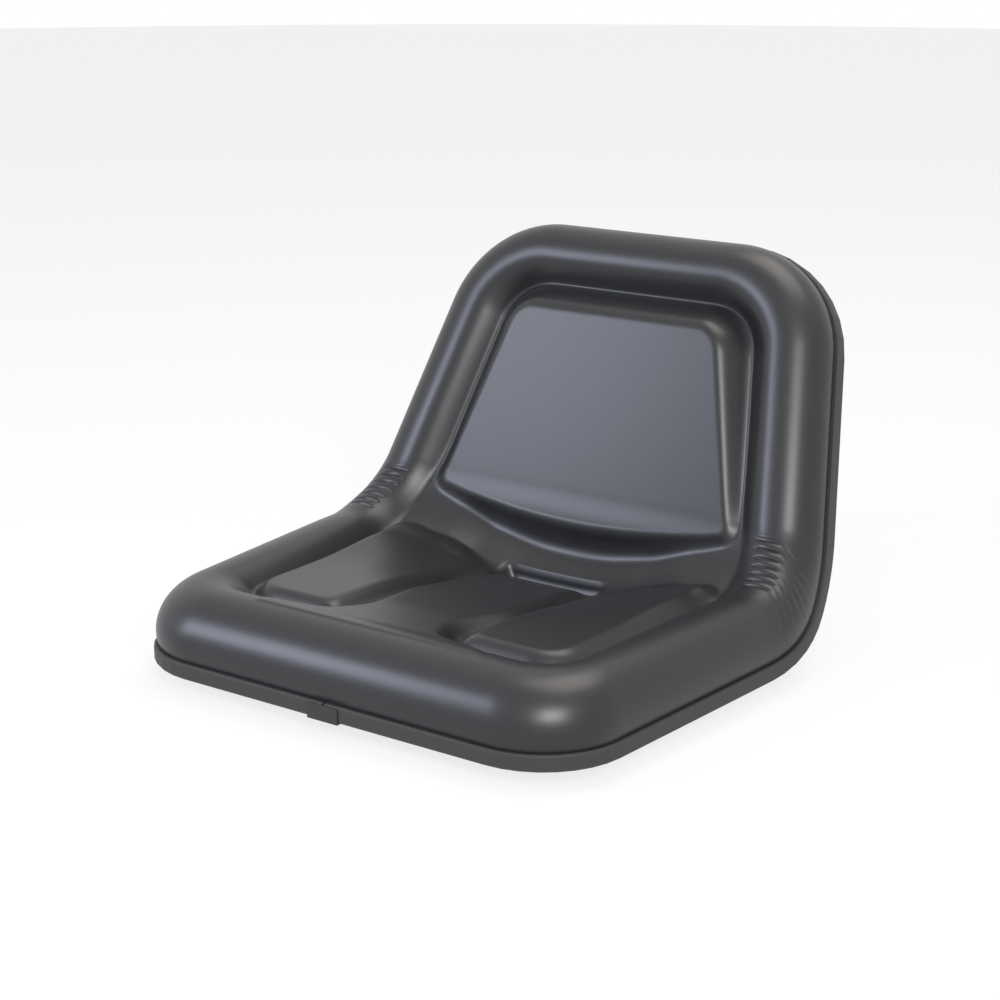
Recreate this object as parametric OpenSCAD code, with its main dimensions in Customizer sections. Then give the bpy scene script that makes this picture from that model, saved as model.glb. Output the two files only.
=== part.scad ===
// Bucket seat for a lawn or garden tractor, in millimetres.
// One moulded vinyl cover over foam sits on a pressed steel pan, and an edge trim holds the hem.
// +Z is up, +Y is to the rear, and the origin is in the middle of the mounting face.
// The cushion is drawn as a flat sheet, width x by length s, that is bent along the side profile.

/* [Rim outline] */
// Width of the rim along the front edge
rim_front_w = 432; // [390:1:470]
// Width of the rim at its widest place, in the bend
rim_mid_w = 484; // [440:1:520]
// Width of the rim along the top edge
rim_top_w = 356; // [310:1:400]
// Radius of the two front corners
front_corner_r = 72; // [50:1:84]
// Radius of the two top corners
top_corner_r = 103; // [70:1:115]

/* [Side profile] */
// Length of the flat seat part, from the front edge to the bend
seat_len = 271; // [250:1:300]
// Radius of the bend between seat and back, at the rim
bend_r = 123; // [105:1:140]
// Lean of the back from upright, in degrees
recline = 24.5; // [16:0.5:32]
// Length of the straight back part
back_len = 241; // [220:1:270]

/* [Bolster] */
// Width of the bolster along the front
bolster_front = 80; // [70:1:90]
// Width of the bolster along the sides
bolster_side = 66; // [58:1:72]
// Width of the bolster along the top
bolster_top = 58; // [50:1:66]
// Height of the bolster crest above the rim, on the seat
crest_seat = 50; // [42:0.5:58]
// Height of the bolster crest above the rim, on the back
crest_back = 44; // [36:0.5:50]
// Height above the rim at which the wall stands out furthest
wall_h = 10; // [6:0.5:14]
// How far the wall stands out beyond the rim
wall_out = 2; // [0.5:0.25:4]

/* [Pleats] */
// Number of ridges on each side of the bend
pleat_count = 6; // [5:1:6]
// Distance from one ridge to the next
pleat_pitch = 12.4; // [11:0.1:13.5]
// Depth of the grooves between the ridges
pleat_depth = 3; // [1:0.25:4]
// Place of the middle of the pleats along the sheet
pleat_mid = 354; // [346:1:362]

/* [Seat pads] */
// Front edge of each pad, from the front of the rim
pad_front = 86; // [80:1:96]
// Inner edge of each pad at its front, from the middle
pad_inner = 58; // [50:1:64]
// Outer edge of each pad, from the middle
pad_outer = 160; // [150:1:166]
// Height of the groove floor round the pads
groove_h = 28; // [22:0.5:34]
// Height of the pads above the groove
pad_rise = 12; // [7:0.5:16]
// Height of the raised saddle between the pads
saddle_h = 39; // [34:0.5:44]
// Depth of the pocket behind the saddle
pocket_depth = 9; // [3:0.5:11]

/* [Back panel] */
// Lower edge of the back panel along the sheet
panel_low = 352; // [344:1:364]
// Upper edge of the back panel along the sheet
panel_high = 582; // [570:1:592]
// Half width of the back panel near its lower edge
panel_low_w = 152; // [140:1:158]
// Half width of the back panel near its upper edge
panel_high_w = 112; // [100:1:122]
// Height of the back panel at its lower edge
panel_low_h = 36; // [28:0.5:42]
// Height of the back panel at its upper edge
panel_high_h = 42; // [34:0.5:48]

/* [Skins] */
// Thickness of the vinyl cover
cover_t = 1.5; // [1:0.1:2]
// Length of the hem that hangs outside the pan
hem_len = 10.5; // [8:0.25:12]
// Thickness of the steel pan
steel_t = 1.2; // [0.9:0.1:2]

/* [Steel pan] */
// Depth of the pan floor below the rim, at its upper face
pan_depth = 20.8; // [18:0.2:24]
// Width of the flat lip round the pan
lip_w = 13; // [10:0.5:15]
// Width of the mounting platform
platform_w = 250; // [230:1:280]
// Length of the mounting platform
platform_len = 256; // [250:1:262]
// Front of the mounting platform, from the front of the rim
platform_front = 60; // [54:1:66]
// Corner radius of the mounting platform
platform_r = 22; // [12:1:30]
// Depth of the platform below the pan floor
platform_drop = 8; // [7.5:0.1:9]

/* [Mounting] */
// Distance between the mounting holes, across the seat
hole_dx = 200; // [180:1:205]
// Distance between the mounting holes, front to rear
hole_dy = 180; // [160:1:190]
// Radius of the mounting holes and of the thread
hole_r = 4; // [3:0.05:5]
// Width of the weld nuts across their flats
nut_af = 14; // [12:0.5:16]
// Height of the weld nuts
nut_h = 6.2; // [5:0.1:6.4]

/* [Edge trim] */
// Thickness of the outer leg of the trim
trim_out = 4.3; // [3:0.1:5]
// Thickness of the inner leg of the trim
trim_in = 2.6; // [2:0.1:3]
// Thickness of the web under the hem
trim_web = 3; // [2:0.1:4]
// Gap between the two ends of the trim
trim_gap = 2; // [0.5:0.5:4]

/* [Splice clip] */
// Length of the splice clip
clip_len = 30; // [24:1:36]
// Place of the middle of the clip across the front
clip_x = -3; // [-8:0.5:8]
// Thickness of the clip
clip_t = 1; // [0.8:0.1:1.4]

/* [Hidden] */
$fn = 48;
bend_deg = 90 - recline;
arc_len = bend_r * bend_deg * PI / 180;
s_bend = seat_len + arc_len;
s_top = s_bend + back_len;
s_mid = seat_len + 0.364 * arc_len;
rim_z = pan_depth + steel_t + platform_drop;
origin_s = platform_front + platform_len / 2;
skirt_in = cover_t + steel_t;
skirt_h = hem_len + 0.5;
web_top = skirt_h + 0.2;
trim_bottom = web_top + trim_web;
pleat_zone = pleat_count * pleat_pitch;
pleat_from = pleat_mid - pleat_zone / 2;
n_front = 8;
n_corner = 8;
n_flat = 6;
n_bend = 3;
n_pleat = 2 * pleat_count;
n_rise = 2;
n_back = 6;
k1 = n_front;
k2 = k1 + n_corner;
k3 = k2 + n_flat;
k4 = k3 + n_bend;
k5 = k4 + n_pleat;
k6 = k5 + n_rise;
k7 = k6 + n_back;
k8 = k7 + n_corner;
n_half = k8 + n_front;
n_all = 2 * n_half;
n_wide = 2 * n_front + n_corner;
n_long = n_half - n_wide;
spine_from = 122;
spine_to = s_top - 132;
spine_at = [[0, 0], [k2, 0.18], [k3, 0.4], [k4, 0.5], [k5, 0.66], [k7, 0.84], [n_half, 1]];
wall_deg = [-4, 12, 30, 47, 62, 76, 90];
inner_u = [0.16, 0.33, 0.5, 0.66, 0.82, 1];
floor_u = [0.5, 1];

// Smooth step from 0 at a to 1 at b
function sstep(a, b, v) = let (t = max(0, min(1, (v - a) / (b - a)))) t * t * (3 - 2 * t);
// Smooth maximum and minimum of two values, rounded over k
function smax(a, b, k) = let (m = max(a, b), n = min(a, b), d = max(0, k - (m - n)) / k) m + d * d * k / 4;
function smin(a, b, k) = -smax(-a, -b, k);
function mix(a, b, t) = a + (b - a) * t;

// Side edge of the rim at length s, moved inwards by the given inset
function side_x(s, inset) = smin(
    mix(rim_front_w / 2, rim_mid_w / 2, s / s_mid),
    mix(rim_mid_w / 2, rim_top_w / 2, (s - s_mid) / (s_top - s_mid)), 8) - inset;

// Circular corner at p between the directions of a and b, point i of n
function corner(p, a, b, r, i, n) =
    let (
        u = (a - p) / norm(a - p),
        v = (b - p) / norm(b - p),
        w = acos(u * v) / 2,
        c = p + (u + v) / norm(u + v) * r / sin(w),
        p0 = p + u * r / tan(w) - c,
        p1 = p + v * r / tan(w) - c,
        g0 = atan2(p0[1], p0[0]),
        g1 = atan2(p1[1], p1[0]),
        g = g0 + (g1 - g0) * i / n
    ) c + r * [cos(g), sin(g)];

// Right half of a closed outline on the sheet, from the front middle to the top middle
function half_outline(in_front, in_side, in_top, r_front, r_top) =
    let (
        s0 = in_front,
        s1 = s_top - in_top,
        pf = [side_x(s0, in_side), s0],
        pt = [side_x(s1, in_side), s1],
        af = [0, s0],
        bf = [side_x(s0 + 150, in_side), s0 + 150],
        at = [side_x(s1 - 150, in_side), s1 - 150],
        bt = [0, s1],
        c0 = corner(pf, af, bf, r_front, 0, n_corner),
        c1 = corner(pf, af, bf, r_front, n_corner, n_corner),
        c2 = corner(pt, at, bt, r_top, 0, n_corner)
    )
    [for (k = [0 : n_half])
        k < k1 ? [c0[0] * k / n_front, s0] :
        k < k2 ? corner(pf, af, bf, r_front, k - k1, n_corner) :
        k >= k8 ? [corner(pt, at, bt, r_top, n_corner, n_corner)[0] * (n_half - k) / n_front, s1] :
        k >= k7 ? corner(pt, at, bt, r_top, k - k7, n_corner) :
        let (s = lookup(k, [[k2, c1[1]], [k3, seat_len], [k4, pleat_from], [k5, pleat_from + pleat_zone], [k6, s_bend],
            [k7, c2[1]]])) [side_x(s, in_side), s]];

// Both halves, as one closed list
function whole(half) = [for (k = [0 : n_all - 1]) k <= n_half ? half[k] : [-half[n_all - k][0], half[n_all - k][1]]];

rim = whole(half_outline(0, 0, 0, front_corner_r, top_corner_r));
inner = whole(half_outline(bolster_front, bolster_side, bolster_top, 26, 46));
spine = [for (k = [0 : n_all - 1]) let (j = k <= n_half ? k : n_all - k)
    [0, mix(spine_from, spine_to, lookup(j, spine_at))]];

// Place on the sheet at height h above it, as a point in space
function place(p, h) =
    let (
        g = p[1] < seat_len ? 0 : p[1] < s_bend ? (p[1] - seat_len) / bend_r * 180 / PI : bend_deg,
        y0 = p[1] < seat_len ? p[1] : seat_len + bend_r * sin(g),
        z0 = p[1] < seat_len ? 0 : bend_r * (1 - cos(g)),
        d = max(0, p[1] - s_bend)
    ) [p[0], y0 + d * cos(g) - h * sin(g) - origin_s, z0 + d * sin(g) + h * cos(g) + rim_z];

// Station k moved inwards from the rim by e, in millimetres
function inset(k, e) = rim[k] + (inner[k] - rim[k]) / norm(inner[k] - rim[k]) * e;

// Height of the groove floor along the sheet
function groove(s) = lookup(s, [[90, groove_h], [180, groove_h - 1], [225, groove_h - 4], [262, groove_h - 11],
    [295, groove_h - 20], [322, groove_h - 28], [345, groove_h - 31], [362, groove_h - 27], [385, groove_h - 21],
    [430, groove_h - 18], [600, groove_h - 16]]);
// Distance out of a pad, negative inside
function pad_d(x, s) = smax(smax(pad_front - s, x - pad_outer, 22),
    smax((pad_inner + (s - pad_front) * 0.15 - x) * 0.99, ((s - 338) * 0.7 - (x - 150) * 0.7), 12), 16);
// Distance out of the back panel, negative inside
function panel_d(x, s) = smax(smax(s - panel_high, panel_low + 34 * pow(x / 140, 2) - s, 8),
    x - mix(panel_low_w, panel_high_w, (s - 395) / (panel_high - 395)), 34);
// Distance out of the pocket behind the saddle, negative inside
function pocket_d(x, s) = smax(abs(s - 294) - 27, x - 70, 24);
// Height of the saddle between the pads
function saddle(s) = lookup(s, [[40, saddle_h + 11], [66, saddle_h + 8], [95, saddle_h + 3], [140, saddle_h],
    [235, saddle_h - 4], [262, saddle_h - 9]]);
function saddle_w(s) = lookup(s, [[60, 60], [84, 38], [140, 42], [240, 60]]);

// Height of the cushion inside the bolster
function field(p) =
    let (
        x = abs(p[0]),
        s = p[1],
        g = groove(s),
        pad = pad_rise * (1 - sstep(-12, 0, pad_d(x, s))) * (1 - 0.4 * sstep(240, 330, s)),
        sad = max(0, saddle(s) - g) * (1 - sstep(saddle_w(s) - 24, saddle_w(s), x)) * (1 - sstep(246, 276, s)),
        pan = (mix(panel_low_h, panel_high_h, (s - 390) / 180) - g) * (1 - sstep(-15, 0, panel_d(x, s))),
        poc = pocket_depth * (1 - sstep(-16, 0, pocket_d(x, s)))
    ) g + pad + max(sad, 0) + max(pan, 0) - poc;

// Share of the back in the bolster's height at length s
function backness(s) = sstep(seat_len - 40, s_bend + 20, s);
function crest(s) = mix(crest_seat, crest_back, backness(s));
// Groove depth of the pleats at station k
function pleat(k) = let (j = k <= n_half ? k : n_all - k)
    j > k4 - 1 && j < k5 + 1 && (j - k4) % 2 == 0 ? pleat_depth : 0;
function pleat_at(u) = sstep(-0.1, 0.3, u) * (1 - sstep(0.62, 0.78, u));

// Point of the bolster's outer half at station k, at angle g on its round wall
function wall_pt(k, g) =
    let (
        q = inner[k] - rim[k],
        ec = norm(q) / 2,
        hc = crest(rim[k][1]),
        d = pleat(k) * pleat_at(0.5 * sstep(-20, 90, g)),
        e = ec - (ec + wall_out - d) * cos(g)
    ) place(inset(k, e), wall_h + (hc - wall_h - d) * sin(g));

// Point of the bolster's inner half at station k, t from 0 at the crest to 1 at its foot
function fall_pt(k, t) =
    let (
        u = 0.5 + t / 2,
        p = mix(rim[k], inner[k], u),
        g = groove(p[1]),
        hc = crest(rim[k][1]) - pleat(k) * pleat_at(u),
        b = g - 3 * t + (hc - g) * (0.5 + 0.5 * cos(180 * pow(t, 1.35)))
    ) place(p, smax(b, field(p), 6));

// Points of the field on the sheet: a grid stretched between the four sides of the inner outline
function near(i) = inner[(i - n_wide / 2 + n_all) % n_all];
function far(i) = inner[n_half + n_wide / 2 - i];
function right(j) = inner[n_wide / 2 + j];
function left(j) = inner[n_all - n_wide / 2 - j];
function grid_at(i, j) =
    let (
        u = (near(i)[0] - near(0)[0]) / (near(n_wide)[0] - near(0)[0]),
        v = (right(j)[1] - right(0)[1]) / (right(n_long)[1] - right(0)[1])
    ) mix(near(i), far(i), v) + mix(left(j), right(j), u)
        - mix(mix(near(0), near(n_wide), u), mix(far(0), far(n_wide), u), v);
grid = [for (j = [0 : n_long]) [for (i = [0 : n_wide]) grid_at(i, j)]];
grid_h = [for (r = grid) [for (p = r) field(p)]];
top_grid = [for (r = grid) [for (p = r) place(p, field(p))]];

// Rings of points of the cover's outer face, from the hem to the middle
top_rings = concat(
    [for (h = [-hem_len, 0]) [for (k = [0 : n_all - 1]) place(rim[k], h)]],
    [for (g = wall_deg) [for (k = [0 : n_all - 1]) wall_pt(k, g)]],
    [for (t = inner_u) [for (k = [0 : n_all - 1]) fall_pt(k, t)]]);
n_ring = len(top_rings);

// Normal of the cover at ring j, station k, pointing out of the cushion
function cover_n(j, k) =
    let (
        a = top_rings[max(0, j - 1)][k],
        b = top_rings[min(n_ring - 1, j + 1)][k],
        c = top_rings[j][(k + n_all - 1) % n_all],
        d = top_rings[j][(k + 1) % n_all],
        m = cross(d - c, b - a)
    ) m / norm(m);
function grid_n(i, j) = let (m = cross(top_grid[j][i + 1] - top_grid[j][i - 1], top_grid[j + 1][i] - top_grid[j - 1][i]))
    m / norm(m);

// Rings of the cover's inner face, which is also the outer face of the foam
under_rings = [for (j = [0 : n_ring - 1]) [for (k = [0 : n_all - 1])
    j < 2 ? place(inset(k, cover_t), j == 0 ? -hem_len : 0) : top_rings[j][k] - cover_t * cover_n(j, k)]];

function flat(rings) = [for (r = rings) for (p = r) p];
top_inside = [for (j = [1 : n_long - 1]) for (i = [1 : n_wide - 1]) top_grid[j][i]];
under_inside = [for (j = [1 : n_long - 1]) for (i = [1 : n_wide - 1]) top_grid[j][i] - cover_t * grid_n(i, j)];
// Two triangles of the face a b c d, cut from a to c or from b to d
function quad(a, b, c, d, cut_ac, flip) = cut_ac ?
    (flip ? [[a, b, c], [a, c, d]] : [[a, c, b], [a, d, c]]) :
    (flip ? [[a, b, d], [b, c, d]] : [[a, d, b], [b, d, c]]);
// Faces between neighbouring rings, seen from the side the rings turn anticlockwise on
function ring_faces(n, at, flip) = [for (j = [0 : n - 2]) for (k = [0 : n_all - 1]) for (h = [0, 1])
    let (
        m = (k + 1) % n_all,
        a = at + j * n_all + k,
        b = at + j * n_all + m,
        c = at + (j + 1) * n_all + m,
        d = at + (j + 1) * n_all + k
    ) quad(a, b, c, d, k < n_half, flip)[h]];
// Faces from the last ring to the spine
function spine_faces(last, at, flip) = [for (k = [0 : n_all - 1]) for (h = [0, 1])
    let (
        m = (k + 1) % n_all,
        a = last + k,
        b = last + m,
        c = at + (m <= n_half ? m : n_all - m),
        d = at + (k <= n_half ? k : n_all - k)
    ) quad(a, b, c, d, k > 0 && k < n_half || k == n_all - 1, flip)[h]];
// Index of a grid point: on its border it is a point of the last ring
function grid_index(i, j, last, at) =
    j == 0 ? last + (i - n_wide / 2 + n_all) % n_all :
    j == n_long ? last + n_half + n_wide / 2 - i :
    i == n_wide ? last + n_wide / 2 + j :
    i == 0 ? last + n_all - n_wide / 2 - j :
    at + (j - 1) * (n_wide - 1) + i - 1;
function grid_faces(last, at, flip) = [for (j = [0 : n_long - 1]) for (i = [0 : n_wide - 1]) for (h = [0, 1])
    let (
        a = grid_index(i, j, last, at),
        b = grid_index(i + 1, j, last, at),
        c = grid_index(i + 1, j + 1, last, at),
        d = grid_index(i, j + 1, last, at),
        ac = abs(grid_h[j][i] - grid_h[j + 1][i + 1]),
        bd = abs(grid_h[j][i + 1] - grid_h[j + 1][i])
    ) quad(a, b, c, d, ac < bd - 0.01 || (ac < bd + 0.01 && i < n_wide / 2), flip)[h]];
// Faces that join one ring to another at different places in the list
function band_faces(p, q, flip) = [for (k = [0 : n_all - 1]) for (h = [0, 1])
    let (m = (k + 1) % n_all)
    h == 0 ? (flip ? [p + k, p + m, q + m] : [p + k, q + m, p + m]) :
    (flip ? [p + k, q + m, q + k] : [p + k, q + k, q + m])];

// Closed solid between two sheets of rings, each with its inside points: a grid or a spine
module closed_pair(rings_a, in_a, rings_b, in_b) {
    a_in = len(rings_a) * n_all;
    b_first = a_in + len(in_a);
    b_in = b_first + len(rings_b) * n_all;
    polyhedron(
        points = concat(flat(rings_a), in_a, flat(rings_b), in_b),
        faces = concat(
            ring_faces(len(rings_a), 0, false),
            inside_faces(a_in - n_all, a_in, len(in_a), false),
            ring_faces(len(rings_b), b_first, true),
            inside_faces(b_in - n_all, b_in, len(in_b), true),
            band_faces(0, b_first, true)),
        convexity = 6);
}
function inside_faces(last, at, n, flip) = n == n_half + 1 ? spine_faces(last, at, flip) : grid_faces(last, at, flip);

// Rings of the pan floor from the lip inwards, at the given depth behind its upper face
function pan_rings(t) = concat(
    [for (q = [[lip_w + 0.4 - t * 0.3, -t], [lip_w + 3.2 - t * 0.8, -2.2 - t * 0.6], [lip_w + 17 - t * 0.7, -pan_depth + 3 - t * 0.7],
        [lip_w + 22 - t * 0.3, -pan_depth - t]])
        [for (k = [0 : n_all - 1]) place(inset(k, q[0]), q[1])]],
    [for (u = floor_u) [for (k = [0 : n_all - 1])
        place(mix(inset(k, lip_w + 22), spine[k], u * 0.62), -pan_depth - t)]]);
function pan_spine(t) = [for (k = [0 : n_half]) place(spine[k], -pan_depth - t)];

module vinyl_cover() {
    color([0.07, 0.07, 0.08])
        closed_pair(top_rings, top_inside, under_rings, under_inside);
}

module foam_cushion() {
    foam_rings = [for (j = [1 : n_ring - 1]) under_rings[j]];
    color([0.82, 0.74, 0.5])
        closed_pair(foam_rings, under_inside, pan_rings(0), pan_spine(0));
}

// Rounded outline of the mounting platform, made smaller by c all round
module platform_outline(c) {
    hull()
        for (x = [-1, 1])
            for (y = [-1, 1])
                translate([x * (platform_w / 2 - platform_r), y * (platform_len / 2 - platform_r)])
                    circle(r = platform_r - c, $fn = 48);
}

// Space above the upper face of the pan floor, over the platform
module above_floor() {
    translate([-platform_w, -platform_len, rim_z - pan_depth])
        cube([2 * platform_w, platform_len + seat_len - origin_s, 60]);
    translate([-platform_w, seat_len - origin_s, rim_z + bend_r])
        rotate([0, 90, 0])
            cylinder(r = bend_r + pan_depth, h = 2 * platform_w, $fn = 180);
}

module pan_shell() {
    skirt_a = [for (q = [[cover_t, -skirt_h], [cover_t, 0]]) [for (k = [0 : n_all - 1]) place(inset(k, q[0]), q[1])]];
    skirt_b = [for (q = [[skirt_in, -skirt_h], [skirt_in, -steel_t]])
        [for (k = [0 : n_all - 1]) place(inset(k, q[0]), q[1])]];
    closed_pair(concat(skirt_a, pan_rings(0)), pan_spine(0), concat(skirt_b, pan_rings(steel_t)), pan_spine(steel_t));
}

module steel_pan() {
    color([0.06, 0.06, 0.06]) {
        difference() {
            pan_shell();
            translate([0, 0, -1])
                linear_extrude(rim_z - 4)
                    platform_outline(steel_t);
        }
        difference() {
            linear_extrude(rim_z - pan_depth + 20)
                platform_outline(0);
            translate([0, 0, steel_t])
                linear_extrude(rim_z)
                    platform_outline(steel_t);
            above_floor();
            for (x = [-1, 1])
                for (y = [-1, 1])
                    translate([x * hole_dx / 2, y * hole_dy / 2, -1])
                        cylinder(r = hole_r, h = steel_t + 2);
        }
    }
}

// Weld nut at the corner of the hole pattern given by its signs
module weld_nut(sx, sy) {
    color([0.55, 0.55, 0.56])
        translate([sx * hole_dx / 2, sy * hole_dy / 2, steel_t])
            difference() {
                rotate([0, 0, 30])
                    cylinder(r = nut_af / 2 / cos(30), h = nut_h, $fn = 6);
                translate([0, 0, -1])
                    cylinder(r = hole_r, h = nut_h + 2);
            }
}

module nut_front_right() {
    weld_nut(1, -1);
}

module nut_front_left() {
    weld_nut(-1, -1);
}

module nut_rear_right() {
    weld_nut(1, 1);
}

module nut_rear_left() {
    weld_nut(-1, 1);
}

// Section of the edge trim: distance inwards from the rim, height above it
trim_section = [[0, -0.8], [-trim_out + 1.6, -0.8], [-trim_out, -2.4], [-trim_out, -trim_bottom + 1.8],
    [-trim_out + 1.5, -trim_bottom], [skirt_in + trim_in - 1.3, -trim_bottom],
    [skirt_in + trim_in, -trim_bottom + 1.3], [skirt_in + trim_in, -4], [skirt_in, -4],
    [skirt_in, -web_top], [0, -web_top]];

// Every second station of the pleats is left out of the trim
function trim_skip(k) = let (j = k <= n_half ? k : n_all - k) j > k4 && j < k5 && (j - k4) % 2 == 1;

module edge_trim() {
    n_sec = len(trim_section);
    first = [for (q = trim_section) place([clip_x + trim_gap / 2, q[0]], q[1])];
    last = [for (q = trim_section) place([clip_x - trim_gap / 2, q[0]], q[1])];
    body = [for (k = [0 : n_all - 1]) if ((abs(rim[k][0] - clip_x) > trim_gap || rim[k][1] > 1) && !trim_skip(k))
        [for (q = trim_section) place(inset(k, q[0]), q[1])]];
    all = concat([first], body, [last]);
    n = len(all);
    color([0.09, 0.09, 0.09])
        polyhedron(
            points = [for (r = all) for (p = r) p],
            faces = concat(
                [[for (i = [0 : n_sec - 1]) i]],
                [for (j = [0 : n - 2]) for (i = [0 : n_sec - 1]) for (h = [0, 1])
                    let (m = (i + 1) % n_sec, a = j * n_sec, b = (j + 1) * n_sec)
                    h == 0 ? [a + i, b + i, b + m] : [a + i, b + m, a + m]],
                [[for (i = [0 : n_sec - 1]) n * n_sec - 1 - i]]),
            convexity = 6);
}

module splice_clip() {
    out = trim_out + clip_t;
    low = trim_bottom + clip_t;
    deep = skirt_in + trim_in + clip_t;
    color([0.08, 0.08, 0.08])
        translate([clip_x - clip_len / 2, -origin_s, rim_z])
            rotate([90, 0, 90])
                linear_extrude(clip_len)
                    polygon([[-out, -2], [-trim_out, -2], [-trim_out, -trim_bottom], [deep - clip_t, -trim_bottom],
                        [deep - clip_t, -4], [deep, -4], [deep, -low], [-out, -low]]);
}

vinyl_cover();
foam_cushion();
steel_pan();
nut_front_right();
nut_front_left();
nut_rear_right();
nut_rear_left();
edge_trim();
splice_clip();
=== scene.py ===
import math
import bmesh
import bpy
import numpy as np
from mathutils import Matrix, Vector


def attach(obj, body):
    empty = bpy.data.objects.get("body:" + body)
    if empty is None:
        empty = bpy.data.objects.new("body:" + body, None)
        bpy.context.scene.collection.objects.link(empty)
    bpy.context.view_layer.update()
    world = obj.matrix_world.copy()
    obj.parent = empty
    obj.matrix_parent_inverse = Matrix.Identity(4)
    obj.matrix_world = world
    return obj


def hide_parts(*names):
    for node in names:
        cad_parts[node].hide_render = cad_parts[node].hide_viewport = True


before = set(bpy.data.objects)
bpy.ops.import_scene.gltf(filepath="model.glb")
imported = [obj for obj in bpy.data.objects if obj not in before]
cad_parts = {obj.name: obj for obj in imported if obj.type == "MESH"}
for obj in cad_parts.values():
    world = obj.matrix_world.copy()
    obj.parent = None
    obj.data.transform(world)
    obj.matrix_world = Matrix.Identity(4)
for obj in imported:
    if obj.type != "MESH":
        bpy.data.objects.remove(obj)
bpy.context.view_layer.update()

mm = 0.001

# The cushion is a flat sheet (x across, s along, from the front edge) bent along the side profile.
sheet = {
    "frontWidth": 432.0,
    "midWidth": 484.0,
    "topWidth": 356.0,
    "frontCorner": 72.0,
    "topCorner": 103.0,
    "seatLength": 271.0,
    "bendRadius": 123.0,
    "recline": 24.5,
    "backLength": 241.0,
    "rimHeight": 30.0,
    "originAlong": 188.0,
    "frontBolster": 80.0,
    "sideBolster": 66.0,
    "topBolster": 58.0,
    "innerFrontRadius": 26.0,
    "innerTopRadius": 46.0,
    "pleatPitch": 12.4,
    "pleatCount": 6,
    "pleatMiddle": 354.0,
}
bendAngle = math.radians(90 - sheet["recline"])
bendEnd = sheet["seatLength"] + sheet["bendRadius"] * bendAngle
sheetEnd = bendEnd + sheet["backLength"]
widestAt = sheet["seatLength"] + 0.364 * (bendEnd - sheet["seatLength"])
pleatZone = sheet["pleatCount"] * sheet["pleatPitch"]
pleatStart = sheet["pleatMiddle"] - pleatZone / 2


def smoothStep(a, b, v):
    t = np.clip((v - a) / (b - a), 0, 1)
    return t * t * (3 - 2 * t)


def smoothMax(a, b, k):
    d = np.maximum(0, k - np.abs(a - b)) / k
    return np.maximum(a, b) + d * d * k / 4


def smoothMin(a, b, k):
    return -smoothMax(-a, -b, k)


def mix(a, b, t):
    return a + (b - a) * t


def curveThrough(v, points):
    # smooth curve through a few (place, value) pairs, level at both ends
    px, py = np.array(points, float).T
    slopes = np.gradient(py, px)
    slopes[0] = slopes[-1] = 0
    v = np.clip(v, px[0], px[-1])
    i = np.clip(np.searchsorted(px, v) - 1, 0, len(px) - 2)
    w = px[i + 1] - px[i]
    t = (v - px[i]) / w
    return (
        py[i] * (1 + 2 * t) * (1 - t) ** 2 + slopes[i] * w * t * (1 - t) ** 2
        + py[i + 1] * t * t * (3 - 2 * t) + slopes[i + 1] * w * t * t * (t - 1)
    )


def bendSheet(x, s, h):
    # place on the sheet, at height h above it, as points in metres
    g = np.clip((s - sheet["seatLength"]) / sheet["bendRadius"], 0, bendAngle)
    d = np.maximum(0, s - bendEnd)
    y0 = np.minimum(s, sheet["seatLength"]) + sheet["bendRadius"] * np.sin(g)
    z0 = sheet["bendRadius"] * (1 - np.cos(g))
    y = y0 + d * np.cos(g) - h * np.sin(g) - sheet["originAlong"]
    z = z0 + d * np.sin(g) + h * np.cos(g) + sheet["rimHeight"]
    return np.stack([x * np.ones_like(y), y, z], -1) * mm


def sideEdge(s, inset):
    return smoothMin(
        mix(sheet["frontWidth"] / 2, sheet["midWidth"] / 2, s / widestAt),
        mix(sheet["midWidth"] / 2, sheet["topWidth"] / 2, (s - widestAt) / (sheetEnd - widestAt)), 8,
    ) - inset


def cornerArc(p, a, b, r, t):
    u = (a - p) / np.linalg.norm(a - p)
    v = (b - p) / np.linalg.norm(b - p)
    w = math.acos(float(u @ v)) / 2
    c = p + (u + v) / np.linalg.norm(u + v) * r / math.sin(w)
    p0, p1 = p + u * r / math.tan(w) - c, p + v * r / math.tan(w) - c
    g0, g1 = math.atan2(p0[1], p0[0]), math.atan2(p1[1], p1[0])
    g = g0 + (g1 - g0) * t
    return c + r * np.stack([np.cos(g), np.sin(g)], -1)


def outline(counts, inFront, inSide, inTop, rFront, rTop):
    # closed outline on the sheet, from the front middle round by the right side
    s0, s1 = inFront, sheetEnd - inTop
    pf, pt = np.array([sideEdge(s0, inSide), s0]), np.array([sideEdge(s1, inSide), s1])
    bf = np.array([sideEdge(s0 + 150, inSide), s0 + 150])
    at = np.array([sideEdge(s1 - 150, inSide), s1 - 150])
    front = cornerArc(pf, np.array([0, s0]), bf, rFront, np.linspace(0, 1, counts["corner"] + 1))
    top = cornerArc(pt, at, np.array([0, s1]), rTop, np.linspace(0, 1, counts["topCorner"] + 1))
    stops = [front[-1, 1], sheet["seatLength"], pleatStart, pleatStart + pleatZone, bendEnd, top[0, 1]]
    names = ["flat", "bend", "pleat", "rise", "back"]
    along = np.concatenate([
        np.linspace(a, b, counts[n] + 1)[1:] for a, b, n in zip(stops, stops[1:], names)])
    right = np.concatenate([
        np.stack([np.linspace(0, front[0, 0], counts["front"] + 1)[:-1], np.full(counts["front"], s0)], -1),
        front,
        np.stack([sideEdge(along, inSide), along], -1)[:-1],
        top,
        np.stack([np.linspace(top[-1, 0], 0, counts["top"] + 1)[1:], np.full(counts["top"], s1)], -1),
    ])
    left = right[-2:0:-1] * [-1, 1]
    return np.concatenate([right, left])


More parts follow.
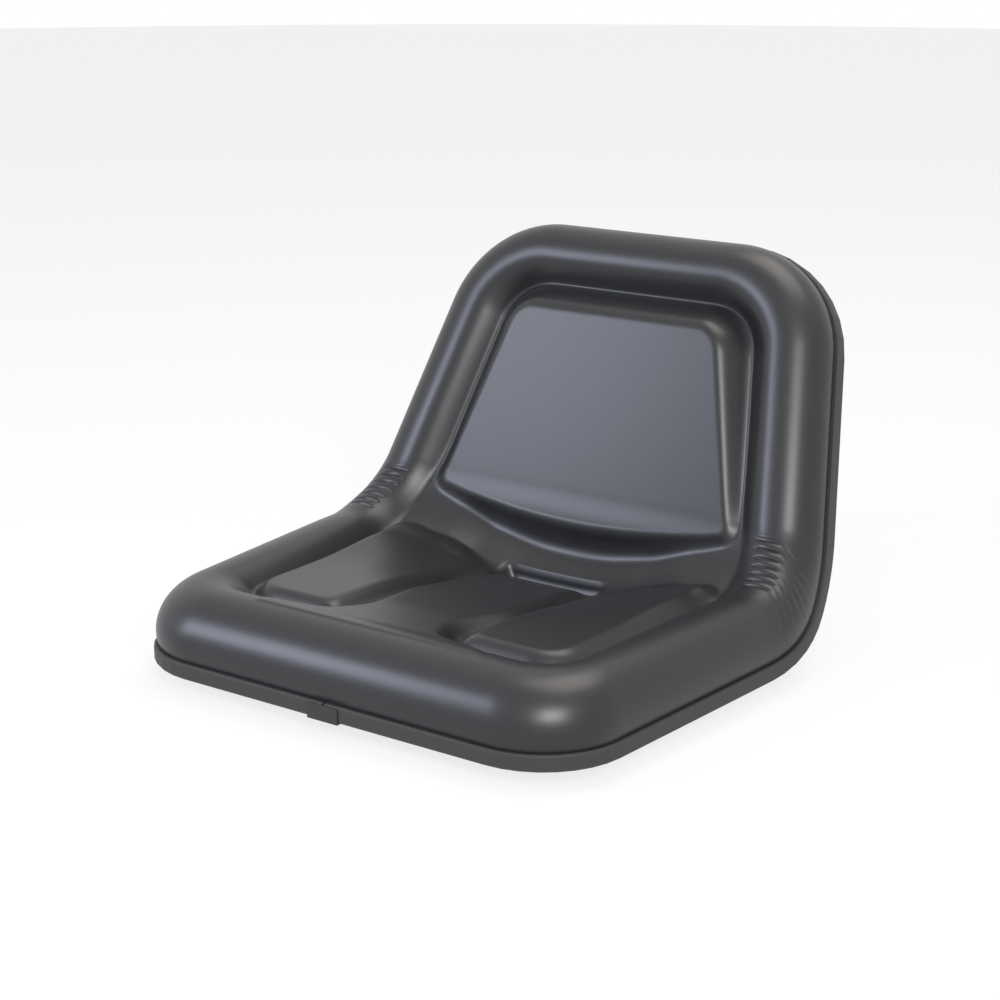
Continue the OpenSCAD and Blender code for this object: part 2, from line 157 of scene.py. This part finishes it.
def gridMesh(name, blocks, weld, material, flip=False):
    # each block is an array of points (rows, columns, 3) that a flat grid is moved onto
    bm = bmesh.new()
    for points in blocks:
        rows, columns = points.shape[:2]
        made = bmesh.ops.create_grid(bm, x_segments=columns - 1, y_segments=rows - 1, size=1)["verts"]
        for v in made:
            i = round((v.co.x + 1) / 2 * (columns - 1))
            j = round((v.co.y + 1) / 2 * (rows - 1))
            v.co = points[j, i]
    bmesh.ops.remove_doubles(bm, verts=bm.verts, dist=weld)
    bmesh.ops.recalc_face_normals(bm, faces=bm.faces)
    if flip:
        bmesh.ops.reverse_faces(bm, faces=bm.faces)
    return meshPiece(name, bm, material)


def meshPiece(name, bm, material, smooth=True):
    me = bpy.data.meshes.new(name)
    bm.to_mesh(me)
    bm.free()
    for p in me.polygons:
        p.use_smooth = smooth
    piece = bpy.data.objects.new(name, me)
    bpy.context.scene.collection.objects.link(piece)
    me.materials.append(material)
    return piece


def toLinear(code):
    parts = [int(code[i:i + 2], 16) / 255 for i in (1, 3, 5)]
    return [c / 12.92 if c <= 0.04045 else ((c + 0.055) / 1.055) ** 2.4 for c in parts] + [1]


def addNode(tree, kind, settings=None, links=None):
    # settings: a node's own values or its sockets', by name; links: socket name to output socket
    node = tree.nodes.new(kind)
    for key, value in (settings or {}).items():
        if hasattr(node, key):
            setattr(node, key, value)
        else:
            node.inputs[key].default_value = value
    for key, source in (links or {}).items():
        tree.links.new(source, node.inputs[key])
    return node


def newMaterial(name):
    material = bpy.data.materials.new(name)
    material.use_nodes = True
    material.node_tree.nodes.clear()
    return material, material.node_tree


def finishMaterial(tree, shader):
    addNode(tree, "ShaderNodeOutputMaterial", links={"Surface": shader.outputs[0]})


vinylLook = {
    "color": "#1c1c1f",
    "roughness": 0.36,
}


def vinylMaterial():
    # PVC skin, vacuum-formed over a polished mould: satin, with hardly any grain
    material, tree = newMaterial("formedVinylSkin")
    shader = addNode(tree, "ShaderNodeBsdfPrincipled", {
        "Base Color": toLinear(vinylLook["color"]), "Roughness": vinylLook["roughness"], "IOR": 1.5})
    finishMaterial(tree, shader)
    return material


def plainMaterial(name, code, roughness, metallic=0.0):
    material, tree = newMaterial(name)
    shader = addNode(tree, "ShaderNodeBsdfPrincipled", {
        "Base Color": toLinear(code), "Roughness": roughness, "Metallic": metallic})
    finishMaterial(tree, shader)
    return material


cushionShape = {
    "crestSeat": 50.0,
    "crestBack": 44.0,
    "wallHeight": 10.0,
    "wallOut": 2.0,
    "hemLength": 10.5,
    "pleatDepth": 2.6,
    # heights along the sheet: pad tops near the middle and near the sides, and the saddle between them
    "padInnerTop": [[60, 44], [95, 43.5], [139, 42], [180, 38], [207, 34], [234, 30], [259, 26], [280, 22],
                    [306, 15], [330, 7]],
    "padOuterTop": [[60, 43.5], [180, 42], [271, 43], [319, 38], [330, 34], [345, 28], [370, 15]],
    "saddleTop": [[40, 50], [66, 47.5], [95, 44.5], [117, 42.5], [145, 39], [176, 35.5], [213, 31], [240, 27.5],
                  [267, 23.5], [290, 18.5]],
    "saddleHalf": [[50, 110], [66, 62], [82, 50], [176, 50], [240, 46], [290, 43]],
    "grooveDepth": 11.0,
    "padFront": 88.0,
    "padInner": 70.0,
    "padOuter": [[90, 152], [180, 153], [319, 160]],
    "padBevel": 12.0,
    "shelf": [[0, 9], [40, 10], [70, 13.5], [90, 16], [105, 19.5], [120, 23], [140, 26], [168, 29]],
    "pocket": {"half": 54.0, "from": 288.0, "to": 322.0, "depth": 13.0},
    "footFront": 28.0,
    "footSeat": 30.0,
    "footBack": 24.5,
    "panelSlope": 0.1011,
    "counts": {"front": 44, "corner": 32, "flat": 50, "bend": 14, "pleat": 84, "rise": 6, "back": 44,
               "topCorner": 44, "top": 32},
    "wallRings": 26,
    "fallRings": 24,
}
c = cushionShape


def roundedOut(a, b, r):
    # distance out of a corner of radius r between two edges
    return np.hypot(np.maximum(a + r, 0), np.maximum(b + r, 0)) - r + np.minimum(np.maximum(a, b) + r, 0)


def bevelShare(t, k=0.4):
    # 0 on the flat, 1 at the foot, straight between with rounded ends
    return smoothMin(np.ones_like(t), smoothMax(np.zeros_like(t), t, k), k)


def footHeight(s):
    return curveThrough(s, [[40, c["footFront"]], [110, c["footSeat"]], [330, c["footSeat"] - 0.5],
                            [420, c["footBack"]], [640, c["footBack"]]])


def shelfHeight(x, s):
    return mix(curveThrough(x, c["shelf"]), c["footBack"], smoothStep(385, 440, s))


def padHeight(x, s):
    u = np.clip((x - 70) / 82, -0.3, 1)
    return mix(curveThrough(s, c["padInnerTop"]), curveThrough(s, c["padOuterTop"]), u)


def padShare(x, s):
    # 1 on a pad's top, 0 off the pad
    outer = curveThrough(s, c["padOuter"])
    d = smoothMax(roundedOut(c["padFront"] - s, x - outer, 26), c["padInner"] - x, 12)
    return 1 - bevelShare(d / c["padBevel"])


def panelShare(x, s):
    flatEdge = 145 - 0.26 * (s - 420)
    foot = sideEdge(s, sheet["sideBolster"])
    across = (x - flatEdge) / np.maximum(foot - flatEdge, 8)
    low = (369 + 0.00105 * x * x - s) / (21 - 0.00035 * x * x)
    high = (s - 572) / 23
    t = roundedOut(smoothMax(low, high, 0.1), across, 0.85)
    return 1 - bevelShare(t, 0.3)


def pocketShare(x, s):
    p = c["pocket"]
    d = roundedOut(np.abs(s - (p["from"] + p["to"]) / 2) - (p["to"] - p["from"]) / 2, x - p["half"], 8)
    return 1 - smoothStep(-9, 0, d)


def fieldHeight(x, s):
    # height of the cushion inside the bolster
    x = np.abs(x)
    top = padHeight(x, s)
    u = smoothStep(70, 150, x)
    floor = mix(top - c["grooveDepth"] * (1 - smoothStep(230, 300, s)), c["footSeat"], u)
    floor = mix(floor, c["footFront"], 1 - smoothStep(70, 100, s))
    shelf = shelfHeight(x, s)
    saddle = curveThrough(s, c["saddleTop"])
    half = curveThrough(s, c["saddleHalf"])
    saddleShare = 1 - bevelShare((x - half) / 12)
    saddleShare = saddleShare * (1 - smoothStep(284, 296, s))
    low = floor + (top - floor) * padShare(x, s)
    low = np.maximum(low, floor + (saddle - floor) * saddleShare)
    low = low * (1 - smoothStep(300, 380, s)) + np.minimum(low, shelf - 20) * smoothStep(300, 380, s)
    h = smoothMax(low, shelf, 2.5)
    h = h - c["pocket"]["depth"] * pocketShare(x, s)
    flat = 32.5 + (s - 384) * c["panelSlope"]
    return h + np.maximum(flat - h, 0) * panelShare(x, s)


def crestHeight(s):
    return mix(c["crestSeat"], c["crestBack"], smoothStep(sheet["seatLength"] - 40, bendEnd + 20, s))


def pleatGroove(s, e, side):
    # depth below the bolster's round at length s, e inwards from the rim
    shift = 1.3 * np.maximum(0, 21 - e)
    t = (s + shift - pleatStart) / sheet["pleatPitch"]
    part = t - np.floor(t)
    wave = 1 - (4 * part * (1 - part)) ** 0.55
    inside = smoothStep(-0.5, -0.1, t) * (1 - smoothStep(sheet["pleatCount"] + 0.1, sheet["pleatCount"] + 0.3, t))
    across = (1 - smoothStep(40, 48, e)) * (1 - 0.65 * smoothStep(26, 17, e)) * smoothStep(-4, 6, e)
    return c["pleatDepth"] * wave * inside * across * side


def cushionBlocks():
    counts = c["counts"]
    rim = outline(counts, 0, 0, 0, sheet["frontCorner"], sheet["topCorner"])
    inner = outline(counts, sheet["frontBolster"], sheet["sideBolster"], sheet["topBolster"],
                    sheet["innerFrontRadius"], sheet["innerTopRadius"])
    total = len(rim)
    way = inner - rim
    width = np.linalg.norm(way, axis=1)
    way = way / width[:, None]
    side = np.abs(rim[:, 0]) > 150
    rings = []

    def ring(e, h):
        p = rim + way * e[:, None]
        rings.append(bendSheet(p[:, 0], p[:, 1], h))

    for h in (-c["hemLength"], -c["hemLength"] / 2, 0.0):
        ring(np.zeros(total), np.full(total, h))
    high = crestHeight(rim[:, 1])
    half = width / 2
    for i in range(1, c["wallRings"] + 1):
        g = math.radians(mix(-12, 90, i / c["wallRings"]))
        e = half - (half + c["wallOut"]) * math.cos(g)
        d = pleatGroove(rim[:, 1], e, side)
        ring(e + d * math.cos(g), c["wallHeight"] + (high - c["wallHeight"]) * math.sin(g) - d * math.sin(g))
    for i in range(1, c["fallRings"] + 1):
        t = i / c["fallRings"]
        e = half * (1 + t)
        p = rim + way * e[:, None]
        foot = footHeight(p[:, 1])
        b = foot + (high - foot) * math.cos(math.pi / 2 * t ** 1.2) - pleatGroove(rim[:, 1], e, side)
        ring(e, smoothMax(b, fieldHeight(p[:, 0], p[:, 1]), 4))
    rings = np.array(rings)
    skin = np.concatenate([rings, rings[:, :1]], 1)

    wide = 2 * counts["front"] + counts["corner"]
    half = total // 2
    near = np.array([inner[(i - wide // 2) % total] for i in range(wide + 1)])
    far = np.array([inner[half + wide // 2 - i] for i in range(wide + 1)])
    long = half - wide
    right = np.array([inner[wide // 2 + j] for j in range(long + 1)])
    left = np.array([inner[(total - wide // 2 - j) % total] for j in range(long + 1)])
    u = ((near[:, 0] - near[0, 0]) / (near[-1, 0] - near[0, 0]))[None, :, None]
    v = ((right[:, 1] - right[0, 1]) / (right[-1, 1] - right[0, 1]))[:, None, None]
    spread = (mix(near[None], far[None], v) + mix(left[:, None], right[:, None], u)
              - mix(mix(near[0], near[-1], u), mix(far[0], far[-1], u), v))
    x, s = spread[..., 0], spread[..., 1]
    inside = -roundedOut(np.maximum(sheet["frontBolster"] - s, s - sheetEnd + sheet["topBolster"]),
                         np.abs(x) - sideEdge(s, sheet["sideBolster"]), 30)
    b = footHeight(s) - 1.1 * np.maximum(inside, 0)
    return skin, bendSheet(x, s, smoothMax(b, fieldHeight(x, s), 4)), rim, way


def buildCamera():
    data = bpy.data.cameras.new("camera")
    data.sensor_width = 36.0
    data.lens = 76.73
    data.clip_start, data.clip_end = 0.05, 50
    camera = bpy.data.objects.new("camera", data)
    bpy.context.scene.collection.objects.link(camera)
    azimuth, elevation, distance = math.radians(35.31), math.radians(16.38), 2.12369
    back = Vector((math.sin(azimuth) * math.cos(elevation), -math.cos(azimuth) * math.cos(elevation),
                   math.sin(elevation)))
    camera.location = Vector((-0.185663, 0.301955, 0.042894)) + back * distance
    camera.rotation_mode = "QUATERNION"
    camera.rotation_quaternion = (-back).to_track_quat("-Z", "Y")
    bpy.context.scene.camera = camera


def areaLamp(name, direction, distance, size, power, code, aim=(0, 0.06, 0.15)):
    data = bpy.data.lights.new(name, "AREA")
    data.shape = "RECTANGLE"
    data.size, data.size_y = size
    data.energy = power
    data.color = toLinear(code)[:3]
    lamp = bpy.data.objects.new(name, data)
    bpy.context.scene.collection.objects.link(lamp)
    away = Vector(direction).normalized()
    lamp.location = Vector(aim) + away * distance
    lamp.rotation_mode = "QUATERNION"
    lamp.rotation_quaternion = away.to_track_quat("Z", "Y")
    return lamp


def buildStage():
    material, tree = newMaterial("palePaperSweep")
    path = addNode(tree, "ShaderNodeLightPath")
    seen = addNode(tree, "ShaderNodeMath", {"operation": "ADD", "use_clamp": True})
    tree.links.new(path.outputs["Is Camera Ray"], seen.inputs[0])
    tree.links.new(path.outputs["Is Glossy Ray"], seen.inputs[1])
    seen2 = addNode(tree, "ShaderNodeMath", {"operation": "ADD", "use_clamp": True})
    tree.links.new(seen.outputs[0], seen2.inputs[0])
    tree.links.new(path.outputs["Is Transmission Ray"], seen2.inputs[1])
    share = addNode(tree, "ShaderNodeMath", {"operation": "MULTIPLY"})
    tree.links.new(seen2.outputs[0], share.inputs[0])
    share.inputs[1].default_value = 0.8
    lit = addNode(tree, "ShaderNodeBsdfDiffuse", {"Color": toLinear("#eeeeee")})
    glow = addNode(tree, "ShaderNodeEmission", {"Color": (1, 1, 1, 1), "Strength": 1.0})
    both = addNode(tree, "ShaderNodeMixShader")
    tree.links.new(share.outputs[0], both.inputs[0])
    tree.links.new(lit.outputs[0], both.inputs[1])
    tree.links.new(glow.outputs[0], both.inputs[2])
    finishMaterial(tree, both)
    bm = bmesh.new()
    bmesh.ops.create_circle(bm, cap_ends=True, segments=96, radius=8)
    floor = meshPiece("floor", bm, material, smooth=False)

    world = bpy.data.worlds.new("studio")
    bpy.context.scene.world = world
    world.use_nodes = True
    tree = world.node_tree
    tree.nodes.clear()
    path = addNode(tree, "ShaderNodeLightPath")
    seen = addNode(tree, "ShaderNodeMath", {"operation": "ADD", "use_clamp": True})
    tree.links.new(path.outputs["Is Camera Ray"], seen.inputs[0])
    tree.links.new(path.outputs["Is Glossy Ray"], seen.inputs[1])
    seen2 = addNode(tree, "ShaderNodeMath", {"operation": "ADD", "use_clamp": True})
    tree.links.new(seen.outputs[0], seen2.inputs[0])
    tree.links.new(path.outputs["Is Transmission Ray"], seen2.inputs[1])
    soft = addNode(tree, "ShaderNodeBackground", {"Color": (1, 1, 1, 1), "Strength": 0.45})
    white = addNode(tree, "ShaderNodeBackground", {"Color": (1, 1, 1, 1), "Strength": 1.0})
    both = addNode(tree, "ShaderNodeMixShader")
    tree.links.new(seen2.outputs[0], both.inputs[0])
    tree.links.new(soft.outputs[0], both.inputs[1])
    tree.links.new(white.outputs[0], both.inputs[2])
    addNode(tree, "ShaderNodeOutputWorld", links={"Surface": both.outputs[0]})

    areaLamp("cameraSoftbox", (0.62, -0.62, 0.48), 2.4, (0.9, 0.9), 40, "#ffffff")
    areaLamp("leftSoftbox", (-0.60, -0.70, 0.40), 2.4, (0.5, 1.0), 25, "#dfe8ff")
    areaLamp("topSoftbox", (0.1, 0.3, 1.0), 2.4, (1.6, 1.6), 30, "#fff8ee")
    bpy.context.scene.view_settings.view_transform = "Standard"


print("stage: camera, lamps and floor")
buildCamera()
buildStage()

print("stage: cushion")
vinyl = vinylMaterial()
skin, field, rim, way = cushionBlocks()
cushion = gridMesh("moulded_cushion", [skin, field], 1e-5, vinyl)
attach(cushion, "root")
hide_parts("vinyl_cover", "foam_cushion")

print("stage: carried-over nodes")
zinc = plainMaterial("zincPlate", "#a9a9ac", 0.35, 1.0)
nodeFinishes = {
    "steel_pan": plainMaterial("blackStovedPaint", "#141414", 0.4),
    "edge_trim": plainMaterial("extrudedRubber", "#2a2a28", 0.6),
    "splice_clip": plainMaterial("mouldedAcetal", "#232323", 0.5),
    "nut_front_right": zinc,
    "nut_front_left": zinc,
    "nut_rear_right": zinc,
    "nut_rear_left": zinc,
}
for name, material in nodeFinishes.items():
    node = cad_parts[name]
    node.data.materials.clear()
    node.data.materials.append(material)

bpy.context.view_layer.update()
